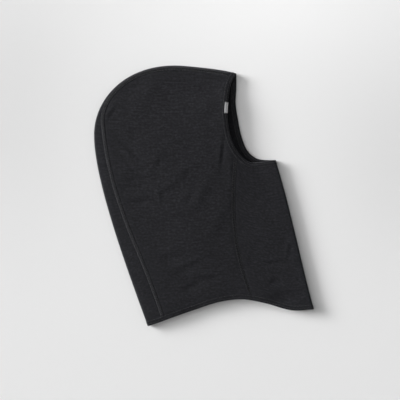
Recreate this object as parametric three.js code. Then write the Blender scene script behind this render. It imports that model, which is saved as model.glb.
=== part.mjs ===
// A knitted balaclava lying flat on its left side, face towards +X and crown towards +Y.
// Millimetres, +Z up. The origin is the middle of its footprint on the surface it lies on.
//
// It is cut from four panels: two sides, a gusset over the crown and down the nape, and a throat
// panel folded at the front. Flatlock seams join them, turned hems finish the face and neck
// openings, and a coverstitch holds each hem. Every piece follows one outer surface, which is
// given in plan and by side: RIGHT is the upper layer and LEFT the lower one.
import * as THREE from 'three';

// Cloth, seams and hems
const CLOTH = 1.2;            // one layer of interlock knit
const HEM = 1.9;              // the turned hem, two layers pressed together
const HEM_WIDTH = 8.5;
const THREAD = 0.35;          // a web of thread
const COVERSTITCH_WIDTH = 4;
const SEAM_HALF = 2.6;        // half the width of a flatlock seam
const SEAM_PROUD = 0.4;       // how far its threads stand above the cloth
const GAP = 0.7;              // between pieces that are sewn to each other
const CLEAR = 0.3;            // between a hem and the threads or label on it
const LABEL = { thick: 0.35, long: 17.2, outside: 4.7, inside: 4, y: 134.5 };

// How the empty hood lies
const FOLD_RADIUS = 3.6;      // the rounded bend along the back and the throat
const LOFT = 12;              // height of the upper layer over the middle of the head
const NECK_LOFT = 9.6;        // and at the neck opening
const LOFT_SPREAD = 130;      // distance from a fold over which the layer rises
const BROW_SPREAD = 45;       // the same from the crown beside the face opening, which gapes
const CHIN_SPREAD = 80;       // and from the throat fold beside it
const MOUTH_SPREAD = 110;     // distance over which the layer eases into each opening

// Rows of facets along the gusset, up the back of a side panel, and up the throat
const GUSSET_ROWS = 44;
const PANEL_ROWS = 26;
const THROAT_ROWS = 18;

// Corners of the outline, in plan
const at = (x, y) => new THREE.Vector2(x, y);
const NAPE = at(-86.5, -201);     // back fold meets the neck hem
const OCCIPUT = at(-169.5, 94);   // rearmost point of the head
const CROWN = at(-44, 201);       // highest point
const BROW = at(50.2, 188);       // crown fold meets the face opening
const CHIN = at(110.5, 55.2);     // throat fold meets the face opening
const THROAT = at(169.5, -174.8); // throat fold meets the neck hem

const RIGHT = 1;
const LEFT = -1;
const { lerp, smoothstep, clamp } = THREE.MathUtils;

// A curve in plan, measured by the length along it.
class Line {
  constructor(points) {
    this.points = points;
    this.lengths = [0];
    for (let i = 1; i < points.length; i++) {
      this.lengths.push(this.lengths[i - 1] + points[i].distanceTo(points[i - 1]));
    }
    this.length = this.lengths.at(-1);
  }

  static along(...curves) {
    const path = new THREE.CurvePath();
    curves.forEach((curve) => path.add(curve));
    return new Line(path.getSpacedPoints(400));
  }

  // The point at a length along the line, which runs on straight past its ends.
  at(length) {
    const after = this.lengths.findIndex((reached) => reached >= length);
    const i = after < 0 ? this.points.length - 1 : Math.max(after, 1);
    const share = (length - this.lengths[i - 1]) / (this.lengths[i] - this.lengths[i - 1]);
    return this.points[i - 1].clone().lerp(this.points[i], share);
  }

  // The unit normal on the left of the line's direction.
  normal(length) {
    const step = 0.5;
    const along = this.at(length + step).sub(this.at(length - step)).normalize();
    return at(-along.y, along.x);
  }

  distance(p) {
    let nearest = Infinity;
    for (let i = 1; i < this.points.length; i++) {
      const a = this.points[i - 1];
      const edge = this.points[i].clone().sub(a);
      const share = clamp(p.clone().sub(a).dot(edge) / edge.lengthSq(), 0, 1);
      nearest = Math.min(nearest, a.clone().addScaledVector(edge, share).distanceTo(p));
    }
    return nearest;
  }
}

const bezier = (...points) => new THREE.CubicBezierCurve(...points);
const spline = (...points) => new THREE.SplineCurve(points);

const backFold = Line.along(
  bezier(NAPE, at(-119.2, -112), at(-169.5, 25), OCCIPUT),
  bezier(OCCIPUT, at(-169.5, 147.5), at(-124, 201.5), CROWN),
  bezier(CROWN, at(-31, 200.9), at(37, 195), BROW),
);
const throatFold = Line.along(bezier(THROAT, at(148, -96), at(134, -19), CHIN));
const neckEdge = Line.along(spline(
  NAPE, at(-68, -194.8), at(-50, -188), at(-13, -175.2), at(24, -163.3), at(60, -159.4), at(97, -166),
  at(134, -176.2), THROAT,
));
// The lower layer shows past the upper one inside the face opening.
const faceEdge = {
  [RIGHT]: Line.along(spline(
    BROW, at(41.5, 171), at(37.4, 147), at(36.2, 121), at(40.8, 91), at(51.5, 68.5), at(69, 52.4),
    at(88, 51.8), CHIN,
  )),
  [LEFT]: Line.along(spline(
    BROW, at(50, 166), at(49.1, 143), at(52.5, 119), at(57.6, 93.5), at(66.2, 71.5), at(79.2, 58.8),
    at(93, 55.4), CHIN,
  )),
};

// How far the back fold lies from each gusset seam, by length along the fold from the nape.
// The strip narrows from 53 mm at the nape to 26 mm at the brow, and rolls to the left over the crown.
const gussetHalf = {
  [RIGHT]: Line.along(spline(
    at(0, 26.5), at(60, 27), at(110, 25), at(160, 21.3), at(225, 18.5), at(270, 17.5),
    at(312, 15), at(338, 9), at(365, 5.8), at(410, 5), at(500, 5), at(600, 5),
  )),
  [LEFT]: Line.along(spline(
    at(0, 26.5), at(100, 24), at(225, 19), at(300, 17), at(338, 20), at(375, 25),
    at(420, 26), at(500, 24), at(600, 21),
  )),
};

function heightAt(line, x) {
  const i = Math.max(1, line.points.findIndex((p) => p.x >= x));
  const [a, b] = [line.points[i - 1], line.points[i]];
  return lerp(a.y, b.y, clamp((x - a.x) / (b.x - a.x), 0, 1));
}

// The two openings. Each edge runs from the back fold to the throat fold.
// corner(inset, end) is the point of a fold that lies inset from the opening.
const face = {
  edge: (side) => faceEdge[side],
  inward: RIGHT,
  corner: (inset, end) => {
    const fold = end ? throatFold : backFold;
    return fold.at(fold.length - inset);
  },
};
const neck = {
  edge: () => neckEdge,
  inward: LEFT,
  corner: (inset, end) => (end ? throatFold.at(inset) : backFold.at(inset)),
};

// The plan point that lies inset from an opening's edge, at a length along that edge.
// Near a fold the inset turns to run along the fold, so that a hem closes round it.
function hemPoint(mouth, side, length, inset) {
  const turn = 25;
  const edge = mouth.edge(side);
  const point = edge.at(length);
  if (inset === 0) return point;
  const way = edge.normal(length).multiplyScalar(-mouth.inward);
  const ends = [length, edge.length - length];
  ends.forEach((reach, end) => {
    const corner = edge.at(end * edge.length);
    const alongFold = mouth.corner(inset, end).sub(corner).divideScalar(inset);
    way.lerp(alongFold, 1 - smoothstep(reach, 0, turn));
  });
  return point.addScaledVector(way, inset);
}

// The seams, each from the neck opening to the face opening.
// across is the distance from the middle of the seam, positive towards the side panel.
const throatSeamLine = {
  [RIGHT]: Line.along(bezier(at(74, -158), at(49, -95), at(38, -35), at(49.5, 69))),
  [LEFT]: Line.along(bezier(at(67.5, -157.6), at(46, -63), at(56, -27), at(64, 75))),
};
const seams = {
  gusset: {
    at: (side, length, across) => {
      const fromFold = heightAt(gussetHalf[side], length) + across;
      return backFold.at(length).addScaledVector(backFold.normal(length), -fromFold);
    },
    length: () => backFold.length,
  },
  throat: {
    at: (side, length, across) => {
      const line = throatSeamLine[side];
      return line.at(length).addScaledVector(line.normal(length), across);
    },
    length: (side) => throatSeamLine[side].length,
  },
};

// Where two plan curves meet, as a length along each.
function crossing(f, fLength, g, gLength) {
  const steps = 12;
  const best = { f: fLength / 2, g: gLength / 2 };
  const reach = { f: fLength / 2 + 12, g: gLength / 2 };
  while (reach.f > 1e-4) {
    const middle = { ...best };
    let nearest = Infinity;
    for (let i = -steps; i <= steps; i++) {
      const s = middle.f + (reach.f * i) / steps;
      const point = f(s);
      for (let j = -steps; j <= steps; j++) {
        const t = middle.g + (reach.g * j) / steps;
        const apart = point.distanceTo(g(t));
        if (apart < nearest) {
          nearest = apart;
          Object.assign(best, { f: s, g: t });
        }
      }
    }
    reach.f /= 4;
    reach.g /= 4;
  }
  return best;
}

// Where a line beside a seam starts and ends between the two hems, and where it meets them.
const spans = new Map();
function span(name, side, across) {
  const key = [name, side, across].join();
  if (!spans.has(key)) {
    const seam = seams[name];
    const meet = (mouth) => crossing(
      (s) => seam.at(side, s, across), seam.length(side),
      (s) => hemPoint(mouth, side, s, HEM_WIDTH + GAP), mouth.edge(side).length,
    );
    const [low, high] = [meet(neck), meet(face)];
    spans.set(key, { from: low.f, to: high.f, atNeck: low.g, atFace: high.g });
  }
  return spans.get(key);
}

// Lines between named ends, each with its points spaced evenly from 0 to 1.
function trace(pointAt, from, to, steps = 120) {
  return Array.from({ length: steps + 1 }, (_, i) => pointAt(lerp(from, to, i / steps)));
}
function evenly(points) {
  const line = new Line(points);
  return (t) => line.at(t * line.length);
}
const hemTrace = (mouth, side, from, to) =>
  trace((s) => hemPoint(mouth, side, s, HEM_WIDTH + GAP), from, to);

// The plan point at (u, v) of a four-sided patch between its boundary curves.
function patch(bottom, top, left, right) {
  return (u, v) => {
    const across = bottom(u).lerp(top(u), v);
    const along = left(v).lerp(right(v), u);
    const corners = bottom(0).lerp(bottom(1), u).lerp(top(0).lerp(top(1), u), v);
    return across.add(along).sub(corners);
  };
}

// The height of the hood's outer face over a plan point.
function outerHeight(p, side) {
  const fromBack = backFold.distance(p);
  const fromThroat = throatFold.distance(p);
  const inset = Math.min(fromBack, fromThroat);
  const bend = Math.sqrt(Math.max(0, FOLD_RADIUS ** 2 - Math.max(0, FOLD_RADIUS - inset) ** 2));
  if (side === LEFT) return FOLD_RADIUS - bend;
  const top = lerp(NECK_LOFT, LOFT, smoothstep(neckEdge.distance(p), 0, MOUTH_SPREAD));
  const beyondFace = smoothstep(faceEdge[RIGHT].distance(p), 0, MOUTH_SPREAD);
  const backSpread = lerp(BROW_SPREAD, LOFT_SPREAD, beyondFace);
  const throatSpread = lerp(CHIN_SPREAD, LOFT_SPREAD, beyondFace);
  const rise = smoothstep(fromBack, FOLD_RADIUS, FOLD_RADIUS + backSpread)
    * smoothstep(fromThroat, FOLD_RADIUS, FOLD_RADIUS + throatSpread);
  return FOLD_RADIUS + bend + (top - 2 * FOLD_RADIUS) * rise;
}
const onHood = (p, side) => new THREE.Vector3(p.x, p.y, outerHeight(p, side));

// A closed solid under a grid of points on the outer face, from one depth below it to another.
// Columns times rows point outwards. A ring closes on itself along its rows. It can leave out
// the last columns of the grid.
function clothSolid(grid, shallow, deep, { ring = false, columns = grid[0].length } = {}) {
  const rows = grid.length;
  const before = (i) => (ring ? (i + rows - 1) % rows : Math.max(i - 1, 0));
  const after = (i) => (ring ? (i + 1) % rows : Math.min(i + 1, rows - 1));
  const layers = [[], []];
  grid.forEach((row, i) => row.slice(0, columns).forEach((point, j) => {
    const across = row[Math.min(j + 1, row.length - 1)].clone().sub(row[Math.max(j - 1, 0)]);
    const along = grid[after(i)][j].clone().sub(grid[before(i)][j]);
    const outward = across.cross(along).normalize();
    layers[0].push(point.clone().addScaledVector(outward, -shallow));
    layers[1].push(point.clone().addScaledVector(outward, -deep));
  }));
  const vertices = layers.flat();
  const under = rows * columns;
  const index = [];
  const quad = (a, b, c, d) => {
    const short = vertices[a].distanceTo(vertices[c]) <= vertices[b].distanceTo(vertices[d]);
    index.push(...(short ? [a, b, c, a, c, d] : [a, b, d, b, c, d]));
  };
  const id = (i, j) => (i % rows) * columns + j;
  for (let i = 0; i < (ring ? rows : rows - 1); i++) {
    for (let j = 0; j < columns - 1; j++) {
      const corners = [id(i, j), id(i, j + 1), id(i + 1, j + 1), id(i + 1, j)];
      quad(...corners);
      quad(...corners.reverse().map((k) => k + under));
    }
    for (const [low, high] of [[id(i + 1, 0), id(i, 0)], [id(i, columns - 1), id(i + 1, columns - 1)]]) {
      quad(high, low, low + under, high + under);
    }
  }
  if (!ring) {
    for (let j = 0; j < columns - 1; j++) {
      for (const [low, high] of [[id(0, j), id(0, j + 1)], [id(rows - 1, j + 1), id(rows - 1, j)]]) {
        quad(high, low, low + under, high + under);
      }
    }
  }
  const geometry = new THREE.BufferGeometry().setFromPoints(vertices);
  geometry.setIndex(index);
  geometry.computeVertexNormals();
  return geometry;
}

// Shares of 0 to 1 for the columns that go round a fold at 1, closer together on its bend.
function foldShares(width, flatSteps, bendSteps) {
  const flat = Array.from({ length: flatSteps }, (_, i) => ((width - FOLD_RADIUS) * i) / flatSteps);
  const bend = Array.from({ length: bendSteps + 1 }, (_, i) =>
    width - FOLD_RADIUS * (1 - Math.cos((Math.PI / 2) * (1 - i / bendSteps))));
  return [...flat, ...bend].map((s) => s / width);
}

// Lengths along an opening's edge, closer together where it turns round a fold at each end.
function hemLengths(length, steps, bendSteps = 3) {
  const bend = Array.from({ length: bendSteps }, (_, i) =>
    FOLD_RADIUS * (1 - Math.cos(((Math.PI / 2) * i) / bendSteps)));
  const straight = Array.from({ length: steps + 1 }, (_, i) =>
    lerp(FOLD_RADIUS, length - FOLD_RADIUS, i / steps));
  return [...bend, ...straight, ...bend.reverse().map((s) => length - s)];
}

// Two curves end to end, the first one up to a share of the whole.
const joined = (share, first, second) => (t) =>
  (t < share ? first(t / share) : second((t - share) / (1 - share)));

function sidePanel(side) {
  const [rows, columns] = [PANEL_ROWS, GUSSET_ROWS - PANEL_ROWS];
  const beside = SEAM_HALF + GAP;
  const back = span('gusset', side, beside);
  const throat = span('throat', side, beside);
  const onBack = (t) => seams.gusset.at(side, lerp(back.from, back.to, t), beside);
  const shoulder = rows / GUSSET_ROWS;
  const faceCorner = 15 / rows;
  const place = patch(
    evenly(hemTrace(neck, side, back.atNeck, throat.atNeck)),
    (t) => onBack(lerp(shoulder, 1, t)),
    (t) => onBack(lerp(0, shoulder, t)),
    joined(
      faceCorner,
      (t) => seams.throat.at(side, lerp(throat.from, throat.to, t), beside),
      evenly(hemTrace(face, side, throat.atFace, back.atFace)),
    ),
  );
  const grid = Array.from({ length: rows + 1 }, (_, i) =>
    Array.from({ length: columns + 1 }, (_, j) => onHood(place(j / columns, i / rows), side)));
  if (side === LEFT) grid.forEach((row) => row.reverse());
  return clothSolid(grid, 0, CLOTH);
}

// A panel folded along its middle: shares run from a seam to the fold on each layer.
function foldedPanel(patches, rows, shares, foldFirst) {
  const grid = Array.from({ length: rows + 1 }, (_, i) => {
    const layer = (side) => shares.map((u) => onHood(patches[side](u, i / rows), side));
    const [first, second] = foldFirst ? [LEFT, RIGHT] : [RIGHT, LEFT];
    return [...layer(first), ...layer(second).reverse().slice(1)];
  });
  return clothSolid(grid, 0, CLOTH);
}

function crownGusset() {
  const beside = -(SEAM_HALF + GAP);
  const inset = HEM_WIDTH + GAP;
  const patches = {};
  for (const side of [LEFT, RIGHT]) {
    const seam = span('gusset', side, beside);
    patches[side] = patch(
      evenly(hemTrace(neck, side, seam.atNeck, 0)),
      evenly(hemTrace(face, side, seam.atFace, 0)),
      (t) => seams.gusset.at(side, lerp(seam.from, seam.to, t), beside),
      (t) => backFold.at(lerp(inset, backFold.length - inset, t)),
    );
  }
  const narrowest = 5;
  return foldedPanel(patches, GUSSET_ROWS, foldShares(narrowest * 2, 1, 3), true);
}

function throatPanel() {
  const beside = -(SEAM_HALF + GAP);
  const inset = HEM_WIDTH + GAP;
  const patches = {};
  for (const side of [LEFT, RIGHT]) {
    const seam = span('throat', side, beside);
    const [neckLength, faceLength] = [neckEdge.length, faceEdge[side].length];
    patches[side] = patch(
      evenly(hemTrace(neck, side, seam.atNeck, neckLength)),
      evenly(hemTrace(face, side, seam.atFace, faceLength)),
      (t) => seams.throat.at(side, lerp(seam.from, seam.to, t), beside),
      (t) => throatFold.at(lerp(inset, throatFold.length - inset, t)),
    );
  }
  const averageWidth = 80;
  return foldedPanel(patches, THROAT_ROWS, foldShares(averageWidth, 7, 3), false);
}

// A flatlock seam: the two butted edges bound together, standing a little proud of the upper layer.
function flatlock(name, side, rows) {
  const profile = [[-1, 0], [-0.6, SEAM_PROUD], [0.6, SEAM_PROUD], [1, 0]];
  const proud = side === RIGHT ? 1 : 0;
  const lines = profile.map(([share, lift]) => {
    const across = share * SEAM_HALF;
    const { from, to } = span(name, side, across);
    return { across, from, to, lift: lift * proud };
  });
  const grid = Array.from({ length: rows + 1 }, (_, i) => {
    const row = lines.map(({ across, from, to, lift }) => {
      const point = onHood(seams[name].at(side, lerp(from, to, i / rows), across), side);
      point.z += lift;
      return point;
    });
    const towardsFace = name === 'gusset' ? side === RIGHT : side === LEFT;
    return towardsFace ? row : row.reverse();
  });
  return clothSolid(grid, 0, CLOTH + SEAM_PROUD * proud);
}

// A ring round an opening, in a range of depths below the outer face. Its columns start at the
// inner border of the hem, and the last one is the edge itself.
function hemRing(mouth, steps, columns, shallow, deep) {
  const insets = [HEM_WIDTH, HEM_WIDTH - COVERSTITCH_WIDTH, 0];
  const row = (side, length) => insets.map((inset) => onHood(hemPoint(mouth, side, length, inset), side));
  const half = (side) => hemLengths(mouth.edge(side).length, steps).map((s) => row(side, s));
  const [upper, lower] = [half(RIGHT), half(LEFT)];
  if (mouth === face) upper.reverse();
  else lower.reverse();
  return clothSolid([...upper.slice(0, -1), ...lower.slice(0, -1)], shallow, deep, { ring: true, columns });
}
const hem = (mouth, steps) => hemRing(mouth, steps, 3, 0, HEM);
const coverstitch = (mouth, steps) => hemRing(mouth, steps, 2, HEM + CLEAR, HEM + CLEAR + THREAD);

// A woven label folded over the right edge of the face opening.
function label() {
  const { thick, long, outside, inside, y } = LABEL;
  const edgeAt = (height) =>
    faceEdge[RIGHT].points.reduce((a, b) => (Math.abs(a.y - height) < Math.abs(b.y - height) ? a : b));
  const [low, high] = [edgeAt(y - long / 2), edgeAt(y + long / 2)];
  const slack = 0.25;
  const top = outerHeight(edgeAt(y), RIGHT) + CLEAR + slack;
  const bottom = top - HEM - 2 * (CLEAR + slack);
  const nose = CLEAR + slack + thick;
  const shape = new THREE.Shape([
    at(-outside, top), at(nose - thick, top), at(nose - thick, bottom), at(-inside, bottom),
    at(-inside, bottom - thick), at(nose, bottom - thick), at(nose, top + thick), at(-outside, top + thick),
  ]);
  const geometry = new THREE.ExtrudeGeometry(shape, { depth: long, bevelEnabled: false });
  return geometry.rotateX(Math.PI / 2).translate(0, long, 0)
    .rotateZ(Math.atan2(low.x - high.x, high.y - low.y)).translate(low.x, low.y, 0);
}

const clothMaterial = new THREE.MeshStandardMaterial({ color: 0x28282a, roughness: 0.95, metalness: 0 });
const hemMaterial = new THREE.MeshStandardMaterial({ color: 0x262628, roughness: 0.95, metalness: 0 });
const threadMaterial = new THREE.MeshStandardMaterial({ color: 0x323235, roughness: 0.7, metalness: 0 });
const labelMaterial = new THREE.MeshStandardMaterial({ color: 0xa9a9ad, roughness: 0.6, metalness: 0 });

const balaclava = new THREE.Group();
function add(name, geometry, material) {
  const mesh = new THREE.Mesh(geometry, material);
  mesh.name = name;
  balaclava.add(mesh);
}

for (const [word, side] of [['right', RIGHT], ['left', LEFT]]) {
  add(`${word}_side_panel`, sidePanel(side), clothMaterial);
  add(`${word}_gusset_seam`, flatlock('gusset', side, GUSSET_ROWS), threadMaterial);
  add(`${word}_throat_seam`, flatlock('throat', side, THROAT_ROWS), threadMaterial);
}
add('crown_gusset', crownGusset(), clothMaterial);
add('throat_panel', throatPanel(), clothMaterial);
add('face_opening_hem', hem(face, 30), hemMaterial);
add('neck_hem', hem(neck, 34), hemMaterial);
add('face_coverstitch', coverstitch(face, 30), threadMaterial);
add('neck_coverstitch', coverstitch(neck, 34), threadMaterial);
add('edge_label', label(), labelMaterial);

export default balaclava;
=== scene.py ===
import math

import bpy
import numpy as np
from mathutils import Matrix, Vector


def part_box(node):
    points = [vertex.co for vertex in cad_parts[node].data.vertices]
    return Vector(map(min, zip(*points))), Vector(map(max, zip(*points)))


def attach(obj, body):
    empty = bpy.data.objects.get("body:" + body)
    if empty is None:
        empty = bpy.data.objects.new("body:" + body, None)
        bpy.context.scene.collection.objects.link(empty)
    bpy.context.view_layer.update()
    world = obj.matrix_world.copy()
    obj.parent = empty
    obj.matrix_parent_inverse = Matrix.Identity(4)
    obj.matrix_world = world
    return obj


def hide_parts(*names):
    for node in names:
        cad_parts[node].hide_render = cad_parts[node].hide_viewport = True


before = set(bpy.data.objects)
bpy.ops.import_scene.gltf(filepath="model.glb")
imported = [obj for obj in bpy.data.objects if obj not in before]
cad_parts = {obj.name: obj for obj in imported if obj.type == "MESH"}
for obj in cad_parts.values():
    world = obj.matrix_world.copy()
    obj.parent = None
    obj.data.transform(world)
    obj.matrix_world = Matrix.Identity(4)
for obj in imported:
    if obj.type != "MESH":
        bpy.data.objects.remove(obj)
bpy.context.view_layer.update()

scene = bpy.context.scene
MM = 0.001
RIGHT, LEFT = 1, -1


def height_of(node):
    low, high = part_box(node)
    return (high[2] - low[2]) / MM


# Sizes that come from the frame, in millimetres
CLOTH = height_of("left_side_panel")
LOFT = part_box("right_side_panel")[1][2] / MM
LABEL_Y = sum(corner[1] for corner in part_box("edge_label")) / 2 / MM

# The form of the hood, in millimetres
FOLD_RADIUS = 3.6        # the rounded bend along the back and the throat
FOLD_REACH = 12          # length each way over which the back fold's direction is taken
FREE = 30                # distance from a fold beyond which cloth waves and droops freely
NECK_LOFT = LOFT - 2.4   # height of the upper layer's edge at the neck opening
LOFT_SPREAD = 130        # distance from a fold over which the upper layer rises
BROW_SPREAD = 45         # the same from the crown beside the face opening, which gapes
CHIN_SPREAD = 80         # and from the throat fold beside it
MOUTH_SPREAD = 110       # distance over which the layer eases into each opening
REST = 0.45              # height of the lower layer, which rests on its stitches and seams
BACK_SWELL = 0.5         # rise of the gusset strip from the back fold towards its seam
STRIP = 27               # width of the gusset strip on the upper layer, at its widest
SHOULDER = 0.55          # rise added by the back fold's bend, which reaches on into the strip
GUSSET_STEP = 0.28       # rise across the gusset seam onto the side panel
STEP = 0.28              # half the drop across the upper throat seam
DROOP = 1.3              # how far the edge of an upper hem hangs down

# Seams, hems and threads, in millimetres
SEAM_HALF = 2.6          # half the width of a flatlock seam
SEAM_DIP = 0.22          # how far the cloth beside a seam sinks
CROWN_REACH = (322, 352)   # where the gusset seam flattens, by length from the nape
RIDGE = {"gusset": 0.52, "throat": 0.06}   # how far each seam stands above the cloth
GROOVE = {"gusset": 0.1, "throat": 0.2}   # depth of the line where its two edges butt
THREAD_SINK = {"gusset": 0, "throat": 0.12}   # how far its threads draw into the cloth
HEM = 1.9                # thickness of a turned hem
HEM_WIDTH = 8.5
NEEDLE_ROWS = (2.9, 7.1)   # a hem's two rows of stitches, from the edge
TUCK = 0.7               # how far a panel runs on under a seam or hem
STITCH = 2.5             # length of one stitch
THREAD = 0.21            # radius of a thread

# The label, in millimetres
LABEL_LONG = 17.2        # along the edge
LABEL_OUTSIDE = 4.7      # width of its outer leaf
LABEL_INSIDE = 4.0       # and of its inner leaf
LABEL_TAPE = 0.34        # its thickness
LABEL_CLEAR = 0.42       # height of the tape's middle over the cloth outside
LABEL_UNDER = HEM + 0.3  # and its depth inside


# Plan curves


def unit(v):
    return v / np.linalg.norm(v, axis=-1, keepdims=True)


def lengths_to(points):
    """The length along a line of points to each of them."""
    return np.concatenate([[0], np.cumsum(np.linalg.norm(np.diff(points, axis=0), axis=1))])


class Line:
    """A curve in plan, measured by the length along it. It runs on straight past its ends."""

    def __init__(self, points):
        self.points = np.asarray(points, float)
        self.reached = lengths_to(self.points)
        self.length = self.reached[-1]

    def at(self, s):
        s = np.asarray(s, float)
        i = np.clip(np.searchsorted(self.reached, s), 1, len(self.points) - 1)
        share = (s - self.reached[i - 1]) / (self.reached[i] - self.reached[i - 1])
        return self.points[i - 1] + share[..., None] * (self.points[i] - self.points[i - 1])

    def normal(self, s, reach=0.5):
        """The unit normal on the left of the line's direction, taken over a reach each way."""
        along = unit(self.at(np.asarray(s) + reach) - self.at(np.asarray(s) - reach))
        return np.stack([-along[..., 1], along[..., 0]], -1)

    def distance(self, p, batch=3000):
        """How far points lie from the line, in batches to save memory."""
        flat = p.reshape(-1, 2)
        start, edge = self.points[:-1], np.diff(self.points, axis=0)
        size = (edge**2).sum(1)
        nearest = np.empty(len(flat))
        for i in range(0, len(flat), batch):
            away = flat[i:i + batch, None] - start
            share = np.clip((away * edge).sum(2) / size, 0, 1)
            gap = away - share[..., None] * edge
            nearest[i:i + batch] = np.sqrt((gap**2).sum(2).min(1))
        return nearest.reshape(p.shape[:-1])


def bezier(a, b, c, d, count=90):
    t = np.linspace(0, 1, count + 1)[:, None]
    a, b, c, d = (np.array(p, float) for p in (a, b, c, d))
    return (1 - t)**3 * a + 3 * (1 - t)**2 * t * b + 3 * (1 - t) * t**2 * c + t**3 * d


def spline(*points, count=16):
    """A smooth curve through the points."""
    p = np.array(points, float)
    t = np.linspace(0, 1, count, endpoint=False)[:, None]
    pieces = []
    for i in range(len(p) - 1):
        before, a, b, after = p[max(i - 1, 0)], p[i], p[i + 1], p[min(i + 2, len(p) - 1)]
        leave, arrive = (b - before) / 2, (after - a) / 2
        cubic, square = 2 * a - 2 * b + leave + arrive, 3 * b - 3 * a - 2 * leave - arrive
        pieces.append(cubic * t**3 + square * t**2 + leave * t + a)
    return np.vstack([*pieces, p[-1:]])


def ease(x, low, high):
    """Goes smoothly from 0 at low to 1 at high."""
    t = np.clip((x - low) / (high - low), 0, 1)
    return t * t * (3 - 2 * t)


def mix(a, b, share):
    return a + (b - a) * share


NAPE, OCCIPUT, CROWN, BROW = (-86.5, -201), (-169.5, 94), (-44, 201), (50.2, 188)
CHIN, THROAT = (110.5, 55.2), (169.5, -174.8)

back_fold = Line(np.vstack([
    bezier(NAPE, (-119.2, -112), (-169.5, 25), OCCIPUT),
    bezier(OCCIPUT, (-169.5, 147.5), (-124, 201.5), CROWN)[1:],
    bezier(CROWN, (-31, 200.9), (37, 195), BROW)[1:],
]))
throat_fold = Line(bezier(THROAT, (148, -96), (134, -19), CHIN))
neck_edge = Line(spline(
    NAPE, (-68, -194.8), (-50, -188), (-13, -175.2), (24, -163.3), (60, -159.4), (97, -166),
    (134, -176.2), THROAT,
))
face_edge = {
    RIGHT: Line(spline(BROW, (41.5, 171), (37.4, 147), (36.2, 121), (40.8, 91), (51.5, 68.5),
                       (69, 52.4), (88, 51.8), CHIN)),
    LEFT: Line(spline(BROW, (50, 166), (49.1, 143), (52.5, 119), (57.6, 93.5), (66.2, 71.5),
                      (79.2, 58.8), (93, 55.4), CHIN)),
}
throat_seam_line = {
    RIGHT: Line(bezier((74, -158), (49, -95), (38, -35), (49.5, 69))),
    LEFT: Line(bezier((67.5, -157.6), (46, -63), (56, -27), (64, 75))),
}
# Distance from the back fold to each gusset seam, by length along the fold from the nape
gusset_half = {
    RIGHT: spline((0, 26.5), (60, 27), (110, 25), (160, 21.3), (225, 18.5), (270, 17.5), (312, 15),
                  (338, 9), (365, 5.8), (410, 5), (500, 5), (600, 5)),
    LEFT: spline((0, 26.5), (100, 24), (225, 19), (300, 17), (338, 20), (375, 25), (420, 26),
                 (500, 24), (600, 21)),
}


class Mouth:
    """An opening: its edge on a side, from the back fold to the throat fold, the hand of that edge
    on which the cloth lies (1 right, -1 left), and the folds' points at a distance from it."""

    def __init__(self, edge, hand, corner):
        self.edge, self.hand, self.corner = edge, hand, corner

    def point(self, side, s, inset):
        """The plan point inset from the edge. Near a fold the inset turns to run along it."""
        turn = 25
        edge = self.edge(side)
        s, inset = np.broadcast_arrays(np.asarray(s, float), np.asarray(inset, float))
        way = edge.normal(s) * -self.hand
        for end, reach in enumerate((s, edge.length - s)):
            depth = np.maximum(np.abs(inset), 1)
            along_fold = (self.corner(depth, end) - edge.at(end * edge.length)) / depth[..., None]
            way = mix(way, along_fold, 1 - ease(reach, 0, turn)[..., None])
        return edge.at(s) + way * inset[..., None]


folds = (back_fold, throat_fold)
face = Mouth(lambda side: face_edge[side], 1,
             lambda inset, end: folds[end].at(folds[end].length - inset))
neck = Mouth(lambda side: neck_edge, -1, lambda inset, end: folds[end].at(inset))


class Seam:
    """A seam from neck to face: its plan point on a side at a length along it and a distance across
    it, positive towards the side panel, and its length on a side."""

    def __init__(self, name, at, length):
        self.name, self.at, self.length = name, at, length


def gusset_point(side, s, across):
    half = np.interp(s, gusset_half[side][:, 0], gusset_half[side][:, 1])
    return back_fold.at(s) - back_fold.normal(s, reach=FOLD_REACH) * (half + across)[..., None]


def throat_point(side, s, across):
    line = throat_seam_line[side]
    return line.at(s) + line.normal(s) * np.asarray(across, float)[..., None]


gusset_seam = Seam("gusset", gusset_point, lambda side: back_fold.length)
throat_seam = Seam("throat", throat_point, lambda side: throat_seam_line[side].length)


def crossing(f, f_length, g, g_length):
    """Where two plan curves meet, as a length along each."""
    best, reach = [f_length / 2, g_length / 2], [f_length / 2 + 12, g_length / 2]
    while reach[0] > 1e-3:
        s, t = (b + r * np.linspace(-1, 1, 41) for b, r in zip(best, reach))
        apart = np.linalg.norm(f(s)[:, None] - g(t)[None], axis=2)
        i, j = np.unravel_index(apart.argmin(), apart.shape)
        best, reach = [s[i], t[j]], [r / 6 for r in reach]
    return best


def span(seam, side, across, inset=HEM_WIDTH - TUCK):
    """Where a line beside a seam starts and ends between the hems, and where it meets them."""
    (low, at_neck), (high, at_face) = (
        crossing(lambda s: seam.at(side, s, np.full_like(s, across)), seam.length(side),
                 lambda s: mouth.point(side, s, inset), mouth.edge(side).length)
        for mouth in (neck, face))
    return low, high, at_neck, at_face


# The hood's outer surface


# Soft swells of the upper layer: middle, direction in degrees, half length, half width, height
SWELLS = [
    ((-122, 33), 10, 14, 11, 0.8), ((-108, 91), 60, 12, 10, -0.45), ((-36, 34), 42, 24, 11, 0.8),
    ((-92, 52), 24, 24, 5, 0.55), ((40, 45), 95, 34, 8, 0.6), ((26, -28), 58, 30, 8, 0.5),
    ((-20, -16), 28, 26, 6, 0.5), ((-40, -24), 10, 24, 7, 0.35), ((-108, 162), 40, 45, 22, 0.25),
    ((31, -50), 82, 28, 9, -0.38), ((79, -82), 76, 17, 7, -0.45), ((118, -153), -10, 26, 9, -0.9),
    ((100, -40), 70, 40, 14, 0.4), ((31, 128), 88, 42, 9, 0.75), ((-10, -148), 20, 40, 7, 0.4),
    ((128, -20), 76, 40, 8, 0.3),
]
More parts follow.
